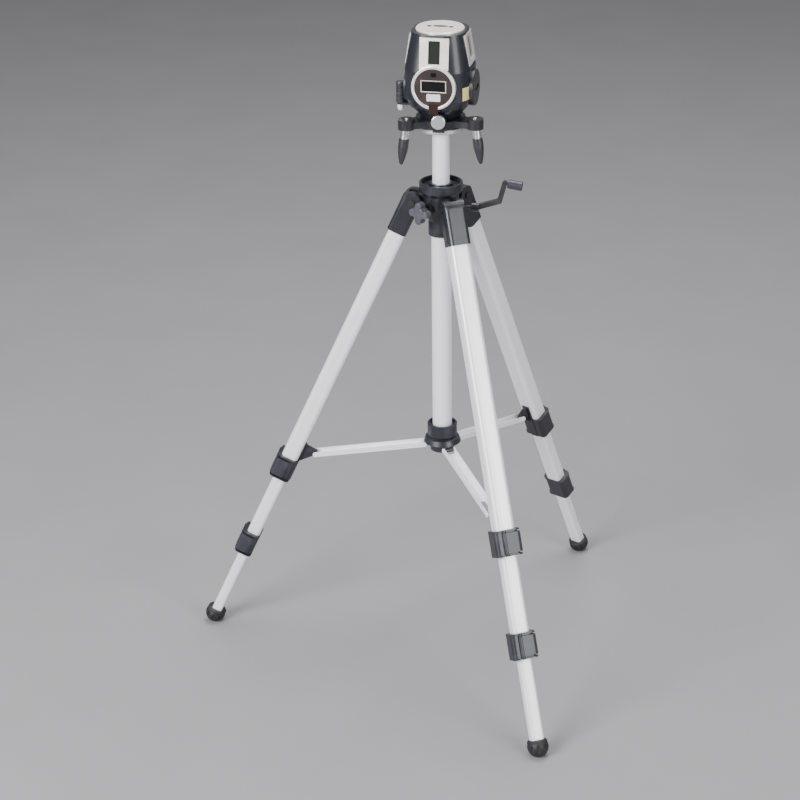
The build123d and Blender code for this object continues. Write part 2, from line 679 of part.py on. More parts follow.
with BuildPart() as level_base:
    with BuildSketch(Plane.XY.offset(BASE_BOTTOM_Z)):
        Circle(31.0)
    with BuildSketch(Plane.XY.offset(BASE_TOP_Z)):
        Circle(34.0)
    loft()
    for azimuth in ARM_AZIMUTHS.values():
        with BuildSketch(Plane.XY.rotated((0, 0, azimuth)).offset(809.0)):
            Polygon((10, -20), (ARM_RADIUS, -8.5), (ARM_RADIUS, 8.5), (10, 20), align=None)
        extrude(amount=9.0)
        with BuildSketch(Plane.XY.rotated((0, 0, azimuth)).offset(808.0)):
            with Locations((ARM_RADIUS, 0)):
                Circle(11.5)
        extrude(amount=14.0)
    with BuildSketch(Plane.XY.offset(BASE_TOP_Z)):
        Circle(SPIGOT_RADIUS)
    extrude(amount=4.0)
    # bearing block of the clamp knob, on the front between two arms
    clamp_plane = Plane.YZ.rotated((0, 0, CLAMP_KNOB_AZIMUTH))
    with BuildSketch(clamp_plane.offset(24.0)):
        with Locations((0, (BASE_BOTTOM_Z + 818.0) / 2)):
            Rectangle(16.0, 818.0 - BASE_BOTTOM_Z)
    extrude(amount=15.4)
    with BuildSketch(clamp_plane.offset(34.6)):
        with Locations((0, CLAMP_KNOB_Z)):
            Circle(5.5)
    extrude(amount=4.8)
    with BuildSketch(clamp_plane.offset(30.0)):
        with Locations((0, CLAMP_KNOB_Z)):
            Circle(3.0 + RUN)
    extrude(amount=20.0, mode=Mode.SUBTRACT)
    for azimuth in ARM_AZIMUTHS.values():
        lean_plane = screw_side(azimuth)
        across = Plane(origin=lean_plane.origin, x_dir=lean_plane.x_dir, z_dir=lean_plane.y_dir)
        with BuildSketch(across.offset(-30.0)):
            Circle(3.0 + RUN)
        extrude(amount=60.0, mode=Mode.SUBTRACT)
    with BuildSketch(Plane.XY.offset(BASE_BOTTOM_Z)):
        Circle(SCREW_RADIUS)
    extrude(amount=10.0, mode=Mode.SUBTRACT)
save(level_base.part, "level_base", BASE_TURN)

for name, azimuth in ARM_AZIMUTHS.items():
    profile_plane = screw_side(azimuth)
    screw_axis = Axis(profile_plane.origin, profile_plane.y_dir)
    with BuildPart() as metal:
        with BuildSketch(profile_plane):
            with BuildLine():
                Polyline(
                    (0, 6.5),
                    (2.4, 6.5),
                    (3.0, 5.9),
                    (3.0, -10.4),
                    (5.2, -10.4),
                    (5.65, -10.9),
                    (5.65, -24.5),
                    (0, -24.5),
                    (0, 6.5),
                )
            make_face()
        revolve(axis=screw_axis)
    with BuildPart() as boot:
        with BuildSketch(profile_plane):
            with BuildLine():
                Polyline((0, -58.7), (0, -24.5), (5.65, -24.5), (5.65, -23.0), (7.0, -23.0), (7.1, -34.0))
                Spline((7.1, -34.0), (5.9, -44.0), (2.9, -56.0))
                Polyline((2.9, -56.0), (1.6, -58.7), (0, -58.7))
            make_face()
        revolve(axis=screw_axis)
    pair = Compound([*metal.part.solids(), *boot.part.solids()])
    save(pair, f"levelling_screw_{name}", BASE_TURN)

# Head: moulded shell, lofted through rounded squares, hollow for the pendulum

WALL = 2.6
SHELL_TOP_Z = 890.0
FRAME_TOP_Z = 940.0
SHELL_LEVELS = [
    (HEAD_BOTTOM_Z, 52.0, 24.0),
    (828.0, 66.0, 30.0),
    (838.0, 82.0, 30.0),
    (850.0, 90.0, 28.0),
    (SHELL_TOP_Z, 90.0, 28.0),
]
FRAME_LEVELS = [(SHELL_TOP_Z, 90.0, 28.0), (FRAME_TOP_Z, 74.0, 26.0)]
RING_Z = 870.5
RING_OUTER = 30.5
RING_INNER = 26.2
AMBER_HALF = 6.2
COVER_Z = 861.0
COVER_RADIUS = 25.0
LOCK_BRACKET_Z = 836.0


def lofted(levels, inset=0.0):
    with BuildPart() as block:
        for z, width, corner in levels:
            with BuildSketch(Plane.XY.offset(z)):
                RectangleRounded(width - 2 * inset, width - 2 * inset, corner - inset)
        loft(ruled=True)
    return block.part


with BuildPart() as body_shell:
    add(lofted(SHELL_LEVELS))
    add(lofted([(HEAD_BOTTOM_Z + 3.0, 56.0, 24.0), *SHELL_LEVELS[1:]], WALL), mode=Mode.SUBTRACT)
    with BuildSketch(Plane.XY.offset(HEAD_BOTTOM_Z)):
        Circle(SPIGOT_RADIUS + RUN)
    extrude(amount=5.0, mode=Mode.SUBTRACT)
    with BuildSketch(Plane.XZ.offset(38.0)):
        with Locations((0, RING_Z)):
            Circle(RING_OUTER)
        with Locations((0, 841.0)):
            Rectangle(2 * AMBER_HALF, 14.0)
    extrude(amount=20.0, mode=Mode.SUBTRACT)
    with BuildSketch(Plane.YZ.offset(40.0)):
        with Locations((0, COVER_Z)):
            Circle(COVER_RADIUS + GAP)
    extrude(amount=20.0, mode=Mode.SUBTRACT)
    with BuildSketch(Plane.YZ.offset(-43.0)):
        with Locations((0, COVER_Z)):
            Circle(COVER_RADIUS)
    extrude(amount=-3.4)
    # bracket that holds the lower end of the transport lock's spindle
    with BuildSketch(Plane.XY.offset(LOCK_BRACKET_Z)):
        with Locations((LOCK_KNOB_PLACE[0] + 6.0, LOCK_KNOB_PLACE[1])):
            Rectangle(12.0, 9.0)
        with Locations(LOCK_KNOB_PLACE):
            Circle(4.5)
    extrude(amount=3.0)
    with BuildSketch(Plane.XY.offset(LOCK_BRACKET_Z - 1.0)):
        with Locations(LOCK_KNOB_PLACE):
            Circle(2.5 + RUN)
    extrude(amount=5.0, mode=Mode.SUBTRACT)
save(body_shell.part, "body_shell", HEAD_TURN)

# Upper frame: four corner pillars and a roof, open on four sides for the windows

GIMBAL_OUTER = 27.0
GIMBAL_INNER = 23.5
TRUNNION_RADIUS = 2.0
BEZEL_HALF = 20.0
BEZEL_BOTTOM_Z = 895.0
BEZEL_TOP_Z = 937.0
BEZEL_PROUD = 0.6
BEZEL_DEPTH = 5.0
WINDOW_HALF = 8.0
WINDOW_BOTTOM_Z = 902.0
WINDOW_TOP_Z = 933.0
FACE_SLOPE = (FRAME_LEVELS[0][1] - FRAME_LEVELS[1][1]) / 2 / (FRAME_TOP_Z - SHELL_TOP_Z)


def face_reach(z):
    """Distance from the axis to the frame's flat side at this height."""
    return FRAME_LEVELS[0][1] / 2 - (z - SHELL_TOP_Z) * FACE_SLOPE


with BuildPart() as upper_frame:
    add(lofted(FRAME_LEVELS))
    add(lofted([(SHELL_TOP_Z, 90.0, 28.0), (FRAME_TOP_Z - 2.5, 74.8, 26.0)], WALL), mode=Mode.SUBTRACT)
    for quarter in range(4):
        with BuildSketch(Plane.XZ.rotated((0, 0, 90.0 * quarter)).offset(20.0)):
            with Locations((0, (BEZEL_BOTTOM_Z + BEZEL_TOP_Z) / 2)):
                Rectangle(2 * BEZEL_HALF, BEZEL_TOP_Z - BEZEL_BOTTOM_Z)
        extrude(amount=40.0, mode=Mode.SUBTRACT)
    with BuildSketch(Plane.XZ.offset(36.0)):
        with Locations((0, RING_Z)):
            Circle(RING_OUTER)
    extrude(amount=20.0, mode=Mode.SUBTRACT)
    # hangers under the roof that carry the gimbal's trunnions
    for face in (-1, 1):
        with BuildSketch(Plane.YZ.offset(face * (GIMBAL_OUTER + 1.0))):
            with Locations((0, (PENDULUM_Z - 4.0 + FRAME_TOP_Z - 2.5) / 2)):
                Rectangle(8.0, FRAME_TOP_Z - 2.5 - PENDULUM_Z + 4.0)
            with Locations((0, PENDULUM_Z)):
                Circle(TRUNNION_RADIUS + RUN, mode=Mode.SUBTRACT)
        extrude(amount=face * 3.4)
save(upper_frame.part, "upper_frame", HEAD_TURN)

with BuildPart() as window_frames:
    for quarter in range(4):
        with BuildSketch(Plane.YZ.rotated((0, 0, 90.0 * quarter))):
            low = face_reach(BEZEL_BOTTOM_Z) + BEZEL_PROUD
            high = face_reach(BEZEL_TOP_Z) + BEZEL_PROUD
            Polygon(
                (-low, BEZEL_BOTTOM_Z),
                (-low + BEZEL_DEPTH, BEZEL_BOTTOM_Z),
                (-high + BEZEL_DEPTH, BEZEL_TOP_Z),
                (-high, BEZEL_TOP_Z),
                align=None,
            )
        extrude(amount=BEZEL_HALF, both=True)
        with BuildSketch(Plane.XZ.rotated((0, 0, 90.0 * quarter)).offset(20.0)):
            with Locations((0, (WINDOW_BOTTOM_Z + WINDOW_TOP_Z) / 2)):
                Rectangle(2 * WINDOW_HALF, WINDOW_TOP_Z - WINDOW_BOTTOM_Z)
        extrude(amount=40.0, mode=Mode.SUBTRACT)
    with BuildSketch(Plane.XZ.offset(36.0)):
        with Locations((0, RING_Z)):
            Circle(RING_OUTER)
    extrude(amount=20.0, mode=Mode.SUBTRACT)
save(window_frames.part, "window_frames", HEAD_TURN)

with BuildPart() as window_glass:
    for quarter in range(4):
        with BuildSketch(Plane.YZ.rotated((0, 0, 90.0 * quarter))):
            low = face_reach(WINDOW_BOTTOM_Z) - 1.6
            high = face_reach(WINDOW_TOP_Z) - 1.6
            Polygon(
                (-low, WINDOW_BOTTOM_Z),
                (-low + 2.0, WINDOW_BOTTOM_Z),
                (-high + 2.0, WINDOW_TOP_Z),
                (-high, WINDOW_TOP_Z),
                align=None,
            )
        extrude(amount=WINDOW_HALF, both=True)
    with BuildSketch(Plane.XZ.offset(38.0)):
        with Locations((0, 841.0)):
            Rectangle(2 * AMBER_HALF, 14.0)
    extrude(amount=10.0)
save(window_glass.part, "window_glass", HEAD_TURN)

with BuildPart() as top_cap:
    with BuildSketch(Plane.XY.offset(FRAME_TOP_Z)):
        Circle(33.0)
    extrude(amount=3.0)
    chamfer(top_cap.edges().sort_by(Axis.Z)[-1], 1.2)
save(top_cap.part, "top_cap", HEAD_TURN)

# Front: bright ring round the control panel, with the power key in its pocket

KEY_SIZE = (19.0, 10.0)
KEY_Z = 857.0
PANEL_FRONT_Y = 46.3
with BuildPart() as front_ring:
    with BuildSketch(Plane.XZ.offset(40.0)):
        with Locations((0, RING_Z)):
            Circle(RING_OUTER)
            Circle(RING_INNER, mode=Mode.SUBTRACT)
        with Locations((0, 841.0)):
            Rectangle(2 * AMBER_HALF, 20.0, mode=Mode.SUBTRACT)
    extrude(amount=8.2)
    fillet(front_ring.faces().sort_by(Axis.Y)[0].edges(), 1.2)
save(front_ring.part, "front_ring", HEAD_TURN)

with BuildPart() as front_panel:
    with BuildSketch(Plane.XZ.offset(40.0)):
        with Locations((0, RING_Z)):
            Circle(RING_INNER)
        with Locations((0, 841.0)):
            Rectangle(2 * AMBER_HALF, 14.0, mode=Mode.SUBTRACT)
    extrude(amount=PANEL_FRONT_Y - 40.0)
    with BuildSketch(Plane.XZ.offset(43.4)):
        with Locations((0, KEY_Z)):
            RectangleRounded(KEY_SIZE[0] + 0.6, KEY_SIZE[1] + 0.6, 1.8)
    extrude(amount=10.0, mode=Mode.SUBTRACT)
save(front_panel.part, "front_panel", HEAD_TURN)

with BuildPart() as power_key:
    with BuildSketch(Plane.XZ.offset(44.9)):
        with Locations((0, KEY_Z)):
            RectangleRounded(*KEY_SIZE, 1.5)
    extrude(amount=2.7)
    fillet(power_key.faces().sort_by(Axis.Y)[0].edges(), 0.5)
save(power_key.part, "power_key", HEAD_TURN)

# Battery compartment: round bayonet cover on the right and the pack behind it

with BuildPart() as battery_cover:
    with BuildSketch(Plane.YZ.offset(42.6)):
        with Locations((0, COVER_Z)):
            Circle(COVER_RADIUS)
    extrude(amount=7.6)
    fillet(battery_cover.edges().sort_by(Axis.X)[-1], 2.0)
    with BuildSketch(Plane.YZ.offset(50.2)):
        with Locations((0, COVER_Z)):
            SlotOverall(26.0, 6.0)
    extrude(amount=-1.6, mode=Mode.SUBTRACT)
save(battery_cover.part, "battery_cover", HEAD_TURN)

with BuildPart() as battery_pack:
    with BuildSketch(Plane.YZ.offset(27.5)):
        with Locations((0, COVER_Z)):
            Circle(17.0)
    extrude(amount=14.5)
save(battery_pack.part, "battery_pack", HEAD_TURN)

# Clamp knob: turned aluminium knob on the base's front, which stops the head from turning

with BuildPart() as azimuth_clamp_knob:
    with BuildSketch(Plane.YZ.offset(34.8)):
        with Locations((0, CLAMP_KNOB_Z)):
            Circle(3.0)
    extrude(amount=6.0)
    with BuildSketch(Plane.YZ.offset(39.7)):
        with Locations((0, CLAMP_KNOB_Z)):
            Circle(9.8)
    extrude(amount=8.3)
    fillet(azimuth_clamp_knob.faces().sort_by(Axis.X)[-1].edges(), 1.5)
save(azimuth_clamp_knob.part, "azimuth_clamp_knob", BASE_TURN + CLAMP_KNOB_AZIMUTH)

# Transport lock: ribbed knob on a vertical spindle at the head's left, with its bright end

with BuildPart() as transport_lock_knob:
    with BuildSketch(Plane.XZ):
        with BuildLine():
            Polyline(
                (0, LOCK_BRACKET_Z - 8.0),
                (3.4, LOCK_BRACKET_Z - 8.0),
                (4.4, LOCK_BRACKET_Z - 6.0),
                (4.4, LOCK_BRACKET_Z - 0.3),
                (2.5, LOCK_BRACKET_Z - 0.3),
                (2.5, LOCK_BRACKET_Z + 3.3),
                (6.2, LOCK_BRACKET_Z + 3.3),
                (6.2, 866.0),
                (5.2, 868.0),
                (0, 868.0),
                (0, LOCK_BRACKET_Z - 8.0),
            )
        make_face()
    revolve(axis=Axis.Z)
    for groove in range(4):
        with BuildSketch(Plane.XY.offset(843.0 + 5.6 * groove)):
            Circle(8.0)
            Circle(5.2, mode=Mode.SUBTRACT)
        extrude(amount=1.8, mode=Mode.SUBTRACT)
lock_knob_placed = Pos(LOCK_KNOB_PLACE[0], LOCK_KNOB_PLACE[1], 0) * transport_lock_knob.part
save(lock_knob_placed, "transport_lock_knob", HEAD_TURN)

# Pendulum: gimbal ring on trunnions, and the weighted frame that carries the laser modules

with BuildPart() as gimbal_ring:
    with BuildSketch(Plane.XY.offset(PENDULUM_Z - 3.0)):
        Circle(GIMBAL_OUTER)
        Circle(GIMBAL_INNER, mode=Mode.SUBTRACT)
    extrude(amount=6.0)
    for face in (-1, 1):
        with BuildSketch(Plane.YZ.offset(face * (GIMBAL_OUTER - 1.0))):
            with Locations((0, PENDULUM_Z)):
                Circle(TRUNNION_RADIUS)
        extrude(amount=face * 5.2)
    with BuildSketch(Plane.XZ):
        with Locations((0, PENDULUM_Z)):
            Circle(TRUNNION_RADIUS + RUN)
    extrude(amount=40.0, both=True, mode=Mode.SUBTRACT)
save(gimbal_ring.part, "gimbal_ring", HEAD_TURN)

BARREL_Z = PENDULUM_Z + 12.0
WEIGHT_BOTTOM_Z = 832.0
with BuildPart() as carrier:
    with BuildSketch(Plane.XY.offset(PENDULUM_Z - 5.0)):
        Circle(15.0)
    extrude(amount=10.0)
    with BuildSketch(Plane.XZ):
        with Locations((0, PENDULUM_Z)):
            Circle(TRUNNION_RADIUS)
    extrude(amount=GIMBAL_OUTER - 1.0, both=True)
    with BuildSketch(Plane.XY.offset(PENDULUM_Z + 5.0)):
        Rectangle(20.0, 20.0)
    extrude(amount=13.0)
    with BuildSketch(Plane.XY.offset(WEIGHT_BOTTOM_Z + 14.0)):
        Circle(7.0)
    extrude(amount=PENDULUM_Z - 5.0 - WEIGHT_BOTTOM_Z - 14.0)
    with BuildSketch(Plane.XY.offset(WEIGHT_BOTTOM_Z)):
        Circle(15.0)
    extrude(amount=14.0)
    with BuildSketch(Plane.XY.offset(WEIGHT_BOTTOM_Z)):
        Circle(4.5)
    extrude(amount=20.0, mode=Mode.SUBTRACT)
with BuildPart() as laser_barrels:
    for quarter in range(4):
        with BuildSketch(Plane.YZ.rotated((0, 0, 90.0 * quarter)).offset(10.0)):
            with Locations((0, BARREL_Z)):
                Circle(4.8)
        extrude(amount=13.0)
    with BuildSketch(Plane.XY.offset(WEIGHT_BOTTOM_Z - 3.0)):
        Circle(4.5)
    extrude(amount=23.0)
pendulum = Compound([*carrier.part.solids(), *laser_barrels.part.solids()])
save(pendulum, "pendulum", HEAD_TURN)
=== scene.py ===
import math
import bpy
from mathutils import Matrix, Vector


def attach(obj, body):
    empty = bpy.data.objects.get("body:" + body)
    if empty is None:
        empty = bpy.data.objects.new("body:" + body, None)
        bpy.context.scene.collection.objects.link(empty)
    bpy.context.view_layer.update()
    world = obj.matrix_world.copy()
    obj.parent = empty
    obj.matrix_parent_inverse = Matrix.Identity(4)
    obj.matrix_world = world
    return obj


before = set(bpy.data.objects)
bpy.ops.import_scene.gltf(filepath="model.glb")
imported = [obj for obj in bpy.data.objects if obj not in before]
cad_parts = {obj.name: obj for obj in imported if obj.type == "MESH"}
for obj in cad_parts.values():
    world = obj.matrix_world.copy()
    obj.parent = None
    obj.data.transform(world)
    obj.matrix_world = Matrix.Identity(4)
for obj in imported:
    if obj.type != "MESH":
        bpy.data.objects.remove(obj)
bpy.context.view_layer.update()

# Studio: a wide sheet of pale paper under the tripod, large soft lamps above it, and the camera
# on a tall stand in front, tipped down at the whole object.
CAMERA_PLACE = (0.4497, -3.0210, 1.7666)
CAMERA_TURN = 9.61
CAMERA_TILT = 65.766
CAMERA_ROLL = -0.777
CAMERA_LENS = 104.35
CAMERA_SENSOR = 36.0
FLOOR_SIZE = 40.0
FLOOR_DROP = 0.0003
LAMP_AIM = Vector((0, 0, 0.5))


def clear_selection():
    """Nothing selected, so that the next operator touches only the new piece."""
    if bpy.context.mode != "OBJECT":
        bpy.ops.object.mode_set(mode="OBJECT")
    bpy.ops.object.select_all(action="DESELECT")


def bare_finish(name):
    """A material with its shader, and the piece's own coordinates to lay patterns by."""
    finish = bpy.data.materials.new(name)
    finish.use_nodes = True
    shader = finish.node_tree.nodes["Principled BSDF"]
    place = finish.node_tree.nodes.new("ShaderNodeTexCoord")
    return finish, shader, place.outputs["Object"]


clear_selection()
bpy.ops.mesh.primitive_plane_add(size=FLOOR_SIZE, location=(0, 0, -FLOOR_DROP))
paper_floor = bpy.context.object
paper_floor.name = "paper_floor"
bpy.ops.object.transform_apply(location=True, rotation=True, scale=True)
paper, paper_shader, paper_place = bare_finish("pale_paper")
paper_shader.inputs["Specular IOR Level"].default_value = 0.2
fibre = paper.node_tree.nodes.new("ShaderNodeTexNoise")
fibre.inputs["Scale"].default_value = 5.0
fibre.inputs["Detail"].default_value = 6.0
fibre_shade = paper.node_tree.nodes.new("ShaderNodeValToRGB")
fibre_shade.color_ramp.elements[0].color = (0.255, 0.250, 0.260, 1)
fibre_shade.color_ramp.elements[1].color = (0.290, 0.285, 0.295, 1)
fibre_gloss = paper.node_tree.nodes.new("ShaderNodeMapRange")
fibre_gloss.inputs["To Min"].default_value = 0.75
fibre_gloss.inputs["To Max"].default_value = 0.9
paper.node_tree.links.new(paper_place, fibre.inputs["Vector"])
paper.node_tree.links.new(fibre.outputs["Fac"], fibre_shade.inputs["Fac"])
paper.node_tree.links.new(fibre_shade.outputs["Color"], paper_shader.inputs["Base Color"])
paper.node_tree.links.new(fibre.outputs["Fac"], fibre_gloss.inputs["Value"])
paper.node_tree.links.new(fibre_gloss.outputs["Result"], paper_shader.inputs["Roughness"])
paper_floor.data.materials.append(paper)

# name, place, size, watts
for name, place, size, watts in (
    ("soft_key", (-1.7, -2.6, 1.9), 1.6, 190.0),
    ("soft_fill", (2.6, -2.2, 1.5), 1.6, 75.0),
    ("soft_top", (0.2, 0.6, 3.2), 2.2, 105.0),
):
    lamp_data = bpy.data.lights.new(name, "AREA")
    lamp_data.size = size
    lamp_data.energy = watts
    lamp = bpy.data.objects.new(name, lamp_data)
    bpy.context.scene.collection.objects.link(lamp)
    lamp.location = place
    lamp.rotation_euler = (LAMP_AIM - Vector(place)).to_track_quat("-Z", "Y").to_euler()

room = bpy.data.worlds.new("pale_room")
room.use_nodes = True
room.node_tree.nodes["Background"].inputs["Color"].default_value = (0.86, 0.87, 0.9, 1)
room.node_tree.nodes["Background"].inputs["Strength"].default_value = 0.36
bpy.context.scene.world = room

camera_data = bpy.data.cameras.new("camera")
camera_data.lens = CAMERA_LENS
camera_data.sensor_width = CAMERA_SENSOR
camera = bpy.data.objects.new("camera", camera_data)
bpy.context.scene.collection.objects.link(camera)
camera_aim = (
    Matrix.Rotation(math.radians(CAMERA_TURN), 4, "Z")
    @ Matrix.Rotation(math.radians(CAMERA_TILT), 4, "X")
    @ Matrix.Rotation(math.radians(CAMERA_ROLL), 4, "Z")
)
camera.matrix_world = Matrix.Translation(CAMERA_PLACE) @ camera_aim
bpy.context.scene.camera = camera

# Feet: ribbed black rubber balls, worn flat where they stand, pressed on the lower tubes.
# They pick up a little floor dust round the sole.


def new_group(name, inputs, outputs):
    """An empty node group with its named sockets."""
    group = bpy.data.node_groups.new(name, "ShaderNodeTree")
    for label, kind in inputs:
        group.interface.new_socket(label, in_out="INPUT", socket_type=kind)
    for label, kind in outputs:
        group.interface.new_socket(label, in_out="OUTPUT", socket_type=kind)
    return group, group.nodes.new("NodeGroupInput"), group.nodes.new("NodeGroupOutput")


def noise(tree, place, scale, detail):
    """A noise texture laid by the given coordinates."""
    texture = tree.nodes.new("ShaderNodeTexNoise")
    texture.inputs["Scale"].default_value = scale
    texture.inputs["Detail"].default_value = detail
    tree.links.new(place, texture.inputs["Vector"])
    return texture.outputs["Fac"]


def spread(tree, value, low, high, start=0.3, end=0.7):
    """The value's middle range carried over to low..high."""
    node = tree.nodes.new("ShaderNodeMapRange")
    node.inputs["From Min"].default_value = start
    node.inputs["From Max"].default_value = end
    node.inputs["To Min"].default_value = low
    node.inputs["To Max"].default_value = high
    tree.links.new(value, node.inputs["Value"])
    return node.outputs["Result"]


# A colour mix node keeps its colours in these sockets.
MIX_FIRST = 6
MIX_SECOND = 7
MIX_RESULT = 2


def blend_shades(tree, mask, first, second):
    """One colour where the mask is 0 and the other where it is 1."""
    node = tree.nodes.new("ShaderNodeMix")
    node.data_type = "RGBA"
    tree.links.new(mask, node.inputs["Factor"])
    for socket, shade in ((node.inputs[MIX_FIRST], first), (node.inputs[MIX_SECOND], second)):
        if isinstance(shade, tuple):
            socket.default_value = (*shade, 1)
        else:
            tree.links.new(shade, socket)
    return node.outputs[MIX_RESULT]


def raise_surface(tree, shader, height, distance, strength):
    """Bump the shader's surface by a height."""
    bump = tree.nodes.new("ShaderNodeBump")
    bump.inputs["Distance"].default_value = distance
    bump.inputs["Strength"].default_value = strength
    tree.links.new(height, bump.inputs["Height"])
    tree.links.new(bump.outputs["Normal"], shader.inputs["Normal"])


VECTOR = "NodeSocketVector"
SHADE = "NodeSocketColor"
NUMBER = "NodeSocketFloat"
PIT_SCALE = 1500.0
HANDLING_SCALE = 48.0
HANDLING_GLOSS = 0.16
COAT_ROUGHNESS = 0.06
MOULDED_BUMP = 0.5
moulded_grain, grain_in, grain_out = new_group(
    "moulded_grain",
    (("Place", VECTOR), ("Shade", SHADE), ("Rubbed Shade", SHADE), ("Gloss", NUMBER)),
    (("Colour", SHADE), ("Roughness", NUMBER), ("Height", NUMBER)),
)
pits = noise(moulded_grain, grain_in.outputs["Place"], PIT_SCALE, 3.0)
handling = noise(moulded_grain, grain_in.outputs["Place"], HANDLING_SCALE, 7.0)
rubbed = spread(moulded_grain, handling, 0.0, 1.0, 0.52, 0.76)
grain_shade = blend_shades(
    moulded_grain, rubbed, grain_in.outputs["Shade"], grain_in.outputs["Rubbed Shade"]
)
grain_gloss = moulded_grain.nodes.new("ShaderNodeMath")
grain_gloss.operation = "MULTIPLY_ADD"
grain_gloss.inputs[1].default_value = HANDLING_GLOSS
moulded_grain.links.new(handling, grain_gloss.inputs[0])
moulded_grain.links.new(grain_in.outputs["Gloss"], grain_gloss.inputs[2])
moulded_grain.links.new(grain_shade, grain_out.inputs["Colour"])
moulded_grain.links.new(grain_gloss.outputs[0], grain_out.inputs["Roughness"])
moulded_grain.links.new(pits, grain_out.inputs["Height"])


def moulded(name, shade, rubbed_shade, gloss, bump_depth, coat=0.0):
    """A moulded plastic or rubber finish."""
    finish, shader, place = bare_finish(name)
    tree = finish.node_tree
    grain = tree.nodes.new("ShaderNodeGroup")
    grain.node_tree = moulded_grain
    grain.inputs["Shade"].default_value = (*shade, 1)
    grain.inputs["Rubbed Shade"].default_value = (*rubbed_shade, 1)
    grain.inputs["Gloss"].default_value = gloss
    tree.links.new(place, grain.inputs["Place"])
    tree.links.new(grain.outputs["Colour"], shader.inputs["Base Color"])
    tree.links.new(grain.outputs["Roughness"], shader.inputs["Roughness"])
    raise_surface(tree, shader, grain.outputs["Height"], bump_depth, MOULDED_BUMP)
    shader.inputs["Coat Weight"].default_value = coat
    shader.inputs["Coat Roughness"].default_value = COAT_ROUGHNESS
    return finish


def dress(node, finish):
    """Give a CAD piece its finish."""
    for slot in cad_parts[node].material_slots:
        slot.material = finish


LEG_AZIMUTHS = {"a": -60.0, "b": 180.0, "c": 60.0}
DUST_HEIGHT = 0.007
DUST_AT_SOLE = 0.5
DUST_SHADE = (0.09, 0.085, 0.08)
foot_rubber = moulded("foot_rubber", (0.012, 0.012, 0.013), (0.03, 0.029, 0.028), 0.5, 0.00008)
rubber_tree = foot_rubber.node_tree
rubber_shader = rubber_tree.nodes["Principled BSDF"]
clean_rubber = rubber_shader.inputs["Base Color"].links[0].from_socket
rubber_height = rubber_tree.nodes.new("ShaderNodeSeparateXYZ")
rubber_tree.links.new(rubber_tree.nodes["Texture Coordinate"].outputs["Object"], rubber_height.inputs[0])
dusty = spread(rubber_tree, rubber_height.outputs["Z"], DUST_AT_SOLE, 0.0, 0.0, DUST_HEIGHT)
rubber_tree.links.new(
    blend_shades(rubber_tree, dusty, clean_rubber, DUST_SHADE), rubber_shader.inputs["Base Color"]
)
for leg in LEG_AZIMUTHS:
    dress(f"leg_{leg}_foot", foot_rubber)

# Leg tubes, guide tube, column and braces: extruded aluminium, anodised to a bright satin white
# silver. Drawing through the die leaves fine streaks along each tube.
LEG_TILT = 24.668
BRACE_TILT = 99.0
STREAK_SCALE = 700.0
STREAK_STRETCH = 40
CLOUD_SCALE = 60.0
CLOUD_GLOSS = 0.18
STREAK_DEPTH = 0.00003
STREAK_BUMP = 0.4
drawn_grain, drawn_in, drawn_out = new_group(
    "drawn_grain",
    (("Place", VECTOR), ("Shade", SHADE), ("Streak Shade", SHADE), ("Gloss", NUMBER)),
    (("Colour", SHADE), ("Roughness", NUMBER), ("Height", NUMBER)),
)
streaks = noise(drawn_grain, drawn_in.outputs["Place"], STREAK_SCALE, 4.0)
cloudy = noise(drawn_grain, drawn_in.outputs["Place"], CLOUD_SCALE, 3.0)
streak_mask = spread(drawn_grain, streaks, 0.0, 1.0, 0.35, 0.72)
streak_shade = blend_shades(
    drawn_grain, streak_mask, drawn_in.outputs["Shade"], drawn_in.outputs["Streak Shade"]
)
streak_gloss = drawn_grain.nodes.new("ShaderNodeMath")
streak_gloss.operation = "MULTIPLY_ADD"
streak_gloss.inputs[1].default_value = CLOUD_GLOSS
drawn_grain.links.new(cloudy, streak_gloss.inputs[0])
drawn_grain.links.new(drawn_in.outputs["Gloss"], streak_gloss.inputs[2])
drawn_grain.links.new(streak_shade, drawn_out.inputs["Colour"])
drawn_grain.links.new(streak_gloss.outputs[0], drawn_out.inputs["Roughness"])
drawn_grain.links.new(streaks, drawn_out.inputs["Height"])


def drawn_metal(name, tilt, azimuth, shade, streak_shade, gloss, metal):
    """A metal finish with its streaks along the given direction."""
    finish, shader, place = bare_finish(name)
    tree = finish.node_tree
    along = tree.nodes.new("ShaderNodeMapping")
    along.vector_type = "TEXTURE"
    along.inputs["Rotation"].default_value = (0, -math.radians(tilt), math.radians(azimuth))
    along.inputs["Scale"].default_value = (1, 1, STREAK_STRETCH)
    grain = tree.nodes.new("ShaderNodeGroup")
    grain.node_tree = drawn_grain
    grain.inputs["Shade"].default_value = (*shade, 1)
    grain.inputs["Streak Shade"].default_value = (*streak_shade, 1)
    grain.inputs["Gloss"].default_value = gloss
    tree.links.new(place, along.inputs["Vector"])
    tree.links.new(along.outputs["Vector"], grain.inputs["Place"])
    tree.links.new(grain.outputs["Colour"], shader.inputs["Base Color"])
    tree.links.new(grain.outputs["Roughness"], shader.inputs["Roughness"])
    shader.inputs["Metallic"].default_value = metal
    raise_surface(tree, shader, grain.outputs["Height"], STREAK_DEPTH, STREAK_BUMP)
    return finish


